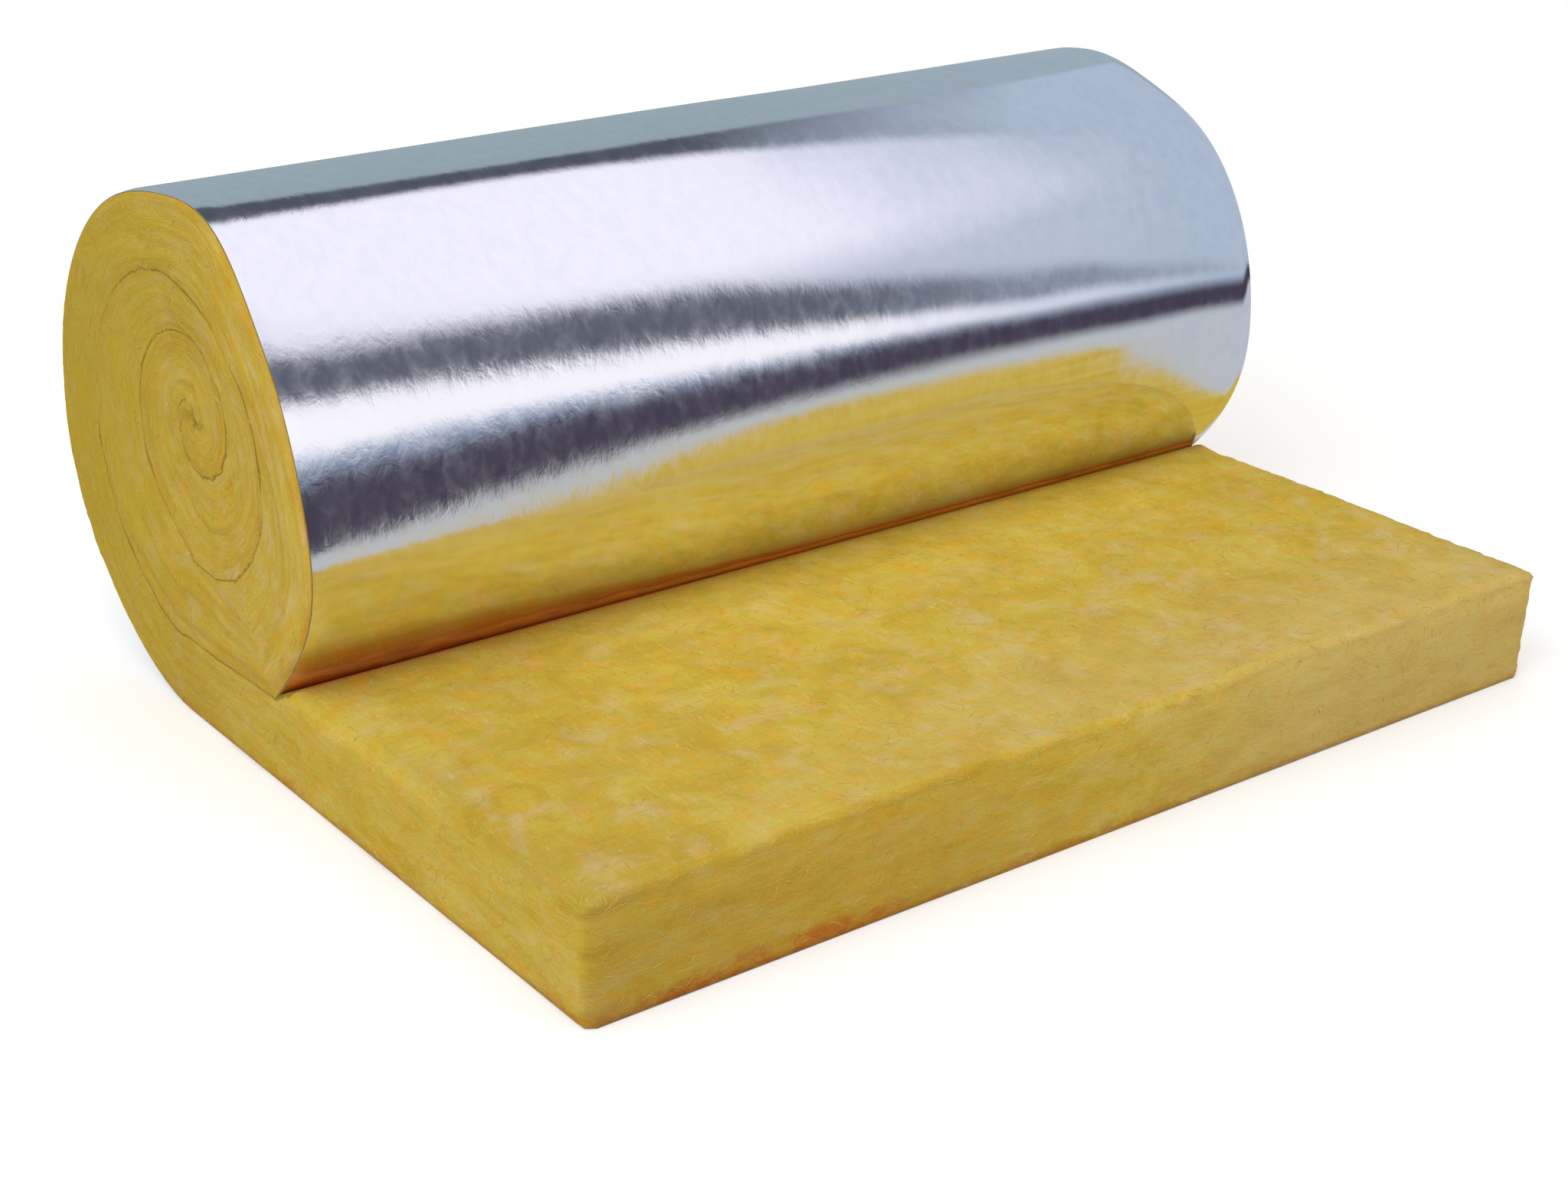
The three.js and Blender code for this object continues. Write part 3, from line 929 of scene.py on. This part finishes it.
    def turns(self, colour):
        """Seams and rings on the roll's ends, faint where it lies on its tail, and painted shade on
        the back of the ends.
        """
        n = self.n
        seam = n.spread(n.kept("turn_line"), 0.0004, 0.0060, 0.09, 0.0)
        colour = n.mix(seam, colour, linear(182, 132, 62))
        rings = n.noise(self.place, (0.240, 0.240, 0.0070), 2.0, 0.5, 0.3)
        lying = n.product(
            n.spread(self.standing["X"], -0.15, -0.05), n.spread(self.standing["Z"], 0.28, 0.18))
        rolled = n.product(n.spread(self.along, 0.0, 0.05), n.spread(lying, 0.0, 1.0, 1.0, 0.25))
        dark = n.product(rolled, n.spread(rings, 0.30, 0.44, 0.45, 0.0))
        colour = n.mix(dark, colour, linear(172, 132, 40))
        light = n.product(rolled, n.spread(rings, 0.60, 0.74, 0.0, 0.40))
        colour = n.mix(light, colour, linear(214, 186, 92))
        # Painted shade: the ends are darker towards their back, away from the tail
        back = n.product(self.at_side, n.spread(self.standing["X"], -0.437, 0.023, 0.85, 0.0))
        return n.mix(back, colour, linear(181, 154, 38))

    def fold(self, colour):
        """Painted light: a lighter, warmer strip on the tail's top deep in the fold, lifting the
        crease's shade.
        """
        n = self.n
        painted_fold_light = n.product(
            n.spread(self.along, -0.216, -0.194), n.spread(self.depth, 0.080, 0.092, 0.0, 0.85),
            n.spread(self.along, -0.170, -0.165, 1.0, 0.0), n.math("SUBTRACT", 1.0, self.at_side))
        fold_light_colour = n.mix(n.spread(self.across, -0.2, 0.2), linear(246, 190, 96), linear(250, 198, 90))
        return n.mix(painted_fold_light, colour, fold_light_colour)

    def brightness(self):
        """Painted light and shade: lighter by the roll and fold, darker at the near side, rims and
        end.
        """
        n = self.n
        by_roll = n.product(n.spread(self.along, -0.46, -0.36), n.spread(self.along, -0.24, -0.29))
        middle = n.product(n.spread(self.across, -0.50, -0.20), n.spread(self.across, 0.60, 0.40))
        by_fold = n.product(n.spread(self.along, -0.34, -0.25), n.spread(self.across, -0.45, -0.15))
        near_side = n.product(
            n.spread(self.across, -0.30, -0.58), n.spread(self.along, -0.30, -0.42))
        by_end = n.spread(self.along, -0.50, -0.60)
        rim = n.product(
            n.spread(n.math("ABSOLUTE", self.across), 0.560, 0.590),
            n.spread(self.along, -0.12, -0.22))
        top = n.product(by_roll, middle, 0.14)
        for part, gain in ((by_fold, 0.22), (near_side, -0.11), (by_end, -0.04), (rim, -0.07)):
            top = n.math("MULTIPLY_ADD", part, gain, top)
        top = n.product(top, n.spread(self.depth, 0.104, 0.113))
        cut = n.math(
            "ADD", n.spread(self.depth, 0.075, 0.105, 0.0, 0.12),
            n.spread(self.across, -0.35, -0.56, 0.0, -0.10))
        return n.math("MULTIPLY_ADD", self.on_cut, cut, n.math("ADD", top, 1.0))

    def bumps(self):
        n = self.n
        height = n.math("MULTIPLY_ADD", self.lengthwise, 0.6, n.product(self.crosswise, 0.6))
        height = n.math("MULTIPLY_ADD", n.product(self.layers, self.layering), 0.35, height)
        height = n.math("MULTIPLY_ADD", self.fleck, 0.6, height)
        return n.bump(height, 0.9, 0.0020)


def wool_material():
    material, n = new_material("glass_wool")
    look = WoolLook(n)
    colour = look.fibres()
    for change in (look.tail_end, look.glue, look.turns, look.fold):
        colour = change(colour)
    # Painted light and shade scale the wool's colour
    bright = {"Value": look.brightness(), "Color": colour}
    n.surface({
        "Base Color": n.add("ShaderNodeHueSaturation", bright).outputs[0],
        "Roughness": 0.92, "Specular IOR Level": 0.15, "Sheen Weight": 0.06,
        "Sheen Roughness": 0.5, "Sheen Tint": linear(255, 238, 180), "Normal": look.bumps()})
    return material


def strand_material():
    material, n = new_material("loose_strands")
    colour = n.ramp(n.kept("tone"), [
        (0.0, linear(206, 172, 62)),
        (0.4, linear(216, 188, 84)),
        (0.8, linear(224, 200, 112)),
        (1.0, linear(226, 178, 66)),
    ])
    n.surface({"Base Color": colour, "Roughness": 0.75, "Specular IOR Level": 0.25})
    return material


def foil_material():
    """Bright foil, crinkled most at the near end, with painted shade at the fold."""
    material, n = new_material("foil")
    place = n.add("ShaderNodeTexCoord").outputs["Object"]
    across = n.axes(place)["Y"]
    crinkle = n.noise(place, (0.020, 0.016, 0.020), 3.0, 0.6, 0.4)
    grain = n.noise(place, (0.0150, 0.0050, 0.0150), 2.0, 0.6)
    slack = n.product(
        n.spread(across, -0.45, 0.15, 1.0, FAR_SLACK), n.spread(across, 0.15, 0.45, 1.0, 0.35))
    rough = n.product(
        n.spread(crinkle, 0.3, 0.7, 0.07, 0.13), n.spread(across, -0.45, 0.45, 1.3, 0.6))
    height = n.product(n.math("MULTIPLY_ADD", grain, 0.26, crinkle), slack)
    blotch = n.noise(place, (0.050, 0.060, 0.012), 3.0, 0.6)
    # Painted shade at the fold: the foil turns brown, rougher and less metallic, darkening its
    # reflection
    fold_shade = n.product(n.kept("fold_shade"), n.spread(blotch, 0.35, 0.65, 0.75, 1.15))
    fold_shade_colour = n.ramp(fold_shade, [
        (0.0, linear(249, 249, 251)),
        (0.30, linear(224, 198, 162)),
        (0.66, linear(226, 172, 122)),
        (0.84, linear(216, 140, 46)),
        (1.0, linear(196, 104, 22)),
    ])
    # The painted shade turns lighter and more orange towards the far end
    far_fold_shade = n.product(n.spread(across, -0.45, 0.0), n.spread(fold_shade, 0.3, 0.8))
    fold_shade_colour = n.mix(far_fold_shade, fold_shade_colour, linear(252, 184, 66))
    clean = n.ramp(crinkle, [(0.3, linear(240, 241, 245)), (0.7, linear(249, 249, 251))])
    n.surface({
        "Base Color": n.mix(n.spread(fold_shade, 0.0, 0.1), clean, fold_shade_colour),
        "Metallic": n.spread(fold_shade, 0.60, 0.88, 1.0, 0.1),
        "Roughness": n.math("MULTIPLY_ADD", fold_shade, 0.3, rough),
        "Normal": n.bump(height, 1.0, 0.00017)})
    return material


# ======== stage, light and camera
FLOOR_REACH = 8.0
FLOOR_DROP = 0.0005

# The studio as the foil sees it, set so that the foil's bands run near the photo's. Each
# thing runs along the roll. It begins at an angle round the roll's axis, in degrees from straight
# up towards +X: one for the near slant, one for the far slant, and a bow between them, where a
# slant is a direction's Y. Then come the softness of its edge, its colour, and its share of the
# haze over the far end.
NEAR_SLANT, FAR_SLANT = 0.43, 0.70
HAZE_STARTS, HAZE_FULL = 0.59, 0.68
LEAST_ANGLE, MOST_ANGLE = -120.0, 240.0
WOOL_CORNER, WOOL_CORNER_SLANTS = 50.0, (0.665, 0.71)
HAZE = linear(170, 184, 202)
FLOOR_GREY = linear(190, 190, 195)
# Mottling of the painted reflection of yellow wool
WOOL_LIGHT, WOOL_DARK = linear(205, 180, 90), linear(185, 150, 45)
STUDIO_BANDS = (
    ("back wall", -110, -110, 0, 3, linear(145, 162, 170), 0.3),
    ("picture rail", -50, -50, 0, 1.5, linear(75, 80, 90), 1.0),
    ("ceiling", -22, -8, -15, 4, linear(240, 238, 252), 1.0),
    ("ceiling's edge", 40, 18, 14, 9, linear(195, 200, 215), 1.0),
    ("first gap", 40, 84, -15, 3, linear(88, 92, 105), 0.7),
    ("softbox", 54, 84, -3, 2, linear(250, 248, 255), 1.0),
    ("softbox's edge", 71, 88, -4, 2, linear(145, 163, 185), 0.1),
    ("second gap", 76, 88, -5, 2.5, linear(66, 60, 75), 0.0),
    ("low wall", 97, 98, -9, 2, linear(185, 188, 190), 0.3),
    # A painted reflection of yellow wool, seen only by mirror-like rays
    ("painted wool reflection", 128, 112, -26, 2, linear(193, 164, 62), 0.0),
    ("floor", 132, 200, -25, 6, FLOOR_GREY, 0.0),
)
FOIL_LIGHT, SOFT_LIGHT = 1.1, 0.84

CAMERA_AZIMUTH = 50.89
CAMERA_ELEVATION = 24.08
CAMERA_ROLL = 2.52
CAMERA_PLACE = (2.20843, -1.64748, 1.22027)
FOCAL_LENGTH_PIXELS = 3511.56
IMAGE_WIDTH_PIXELS = 2048
SENSOR_WIDTH = 36.0


def build_floor():
    """A pale floor that the camera sees a little brighter, and that mirrors don't see."""
    signs = ((-1, -1), (1, -1), (1, 1), (-1, 1))
    corners = [(x * FLOOR_REACH, y * FLOOR_REACH, 0) for x, y in signs]
    floor = add_mesh("floor", corners, [(0, 1, 2, 3)])
    floor.location.z = -FLOOR_DROP
    material, n = new_material("floor")
    pale = n.add("ShaderNodeBsdfDiffuse", {"Color": grey(0.8)})
    white = n.add("ShaderNodeEmission", {"Color": grey(1.0), "Strength": 0.3})
    bright = n.add("ShaderNodeAddShader", {0: pale.outputs[0], 1: white.outputs[0]})
    path = n.add("ShaderNodeLightPath")
    seen = n.add("ShaderNodeMixShader", {
        0: path.outputs["Is Camera Ray"], 1: pale.outputs[0], 2: bright.outputs[0]})
    n.add("ShaderNodeOutputMaterial", {"Surface": seen.outputs[0]})
    floor.data.materials.append(material)
    floor.visible_glossy = False


def studio_colour(n):
    """The studio's colour in each direction."""
    direction = n.add("ShaderNodeTexCoord").outputs["Generated"]
    axes = n.axes(direction)
    turn = n.product(n.math("ARCTAN2", axes["X"], axes["Z"]), 180 / math.pi)
    turn = n.math("WRAP", turn, MOST_ANGLE, LEAST_ANGLE)
    slant = axes["Y"]
    share = n.spread(slant, NEAR_SLANT, FAR_SLANT)
    bowed = n.product(share, n.math("SUBTRACT", 1.0, share), 4.0)
    hazy = n.spread(slant, HAZE_STARTS, HAZE_FULL)
    mottle = n.noise(direction, (0.10, 0.07, 0.05), 3.0, 0.6, 0.5)
    colour = FLOOR_GREY
    for name, near, far, bow, softness, shade, haze in STUDIO_BANDS:
        start = n.math("MULTIPLY_ADD", share, float(far - near), float(near))
        start = n.math("MULTIPLY_ADD", bowed, float(bow), start)
        # The painted wool reflection gets a bent-away corner and mottling
        if name == "painted wool reflection":
            start = n.math("ADD", start, n.spread(slant, *WOOL_CORNER_SLANTS, 0.0, WOOL_CORNER))
            shade = n.mix(n.spread(mottle, 0.42, 0.62, 0.0, 0.45), shade, WOOL_LIGHT)
            shade = n.mix(n.spread(mottle, 0.34, 0.46, 0.4, 0.0), shade, WOOL_DARK)
        shade = n.mix(n.product(hazy, haze), shade, HAZE)
        past = n.spread(n.math("SUBTRACT", turn, start), -softness, softness)
        colour = n.mix(past, colour, shade)
    return colour


def build_world():
    """White to the camera, the studio to mirror-like rays, and plain soft light to the rest."""
    world = bpy.data.worlds.new("studio")
    bpy.context.scene.world = world
    world.use_nodes = True
    n = Nodes(world.node_tree)
    room = n.add("ShaderNodeBackground", {"Color": studio_colour(n), "Strength": FOIL_LIGHT})
    soft = n.add("ShaderNodeBackground", {"Color": grey(1.0), "Strength": SOFT_LIGHT})
    white = n.add("ShaderNodeBackground", {"Color": grey(1.0), "Strength": 1.0})
    path = n.add("ShaderNodeLightPath")
    lit = n.add("ShaderNodeMixShader", {
        0: path.outputs["Is Glossy Ray"], 1: soft.outputs[0], 2: room.outputs[0]})
    seen = n.add("ShaderNodeMixShader", {
        0: path.outputs["Is Camera Ray"], 1: lit.outputs[0], 2: white.outputs[0]})
    n.add("ShaderNodeOutputWorld", {"Surface": seen.outputs[0]})


def build_light(name, place, aim, size, power):
    data = bpy.data.lights.new(name, "AREA")
    data.shape = "SQUARE"
    data.size = size
    data.energy = power
    lamp = add_object(name, data)
    lamp.location = place
    lamp.rotation_euler = (Vector(aim) - Vector(place)).to_track_quat("-Z", "Y").to_euler()
    lamp.visible_glossy = False
    lamp.visible_camera = False


def build_camera():
    turn = math.radians(CAMERA_AZIMUTH)
    tilt = math.radians(CAMERA_ELEVATION)
    roll = math.radians(CAMERA_ROLL)
    back = Vector((
        math.sin(turn) * math.cos(tilt), -math.cos(turn) * math.cos(tilt), math.sin(tilt)))
    level = Vector((math.cos(turn), math.sin(turn), 0))
    upright = back.cross(level)
    right = level * math.cos(roll) + upright * math.sin(roll)
    up = upright * math.cos(roll) - level * math.sin(roll)
    data = bpy.data.cameras.new("camera")
    data.sensor_width = SENSOR_WIDTH
    data.lens = FOCAL_LENGTH_PIXELS * SENSOR_WIDTH / IMAGE_WIDTH_PIXELS
    data.clip_end = 50
    camera = add_object("camera", data)
    place = Vector(CAMERA_PLACE) + Vector((FRAME_SHIFT_X, 0, 0))
    facing = Matrix((right, up, back)).transposed().to_4x4()
    camera.matrix_world = Matrix.Translation(place) @ facing
    bpy.context.scene.camera = camera


# ======== put it together
def declare(piece, material, node):
    piece.data.materials.append(material)
    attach(piece, "root")
    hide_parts(node)


bpy.context.scene.view_settings.view_transform = "Standard"
build_camera()
build_world()
build_floor()
build_light("key", place=(0.9, -1.9, 2.7), aim=(0, 0, 0.2), size=1.6, power=31)

wool = build_wool()
strands = build_strands(wool)
foil = build_foil()
declare(wool, wool_material(), "glass_wool_blanket")
declare(strands, strand_material(), "glass_wool_blanket")
declare(foil, foil_material(), "foil_facing")
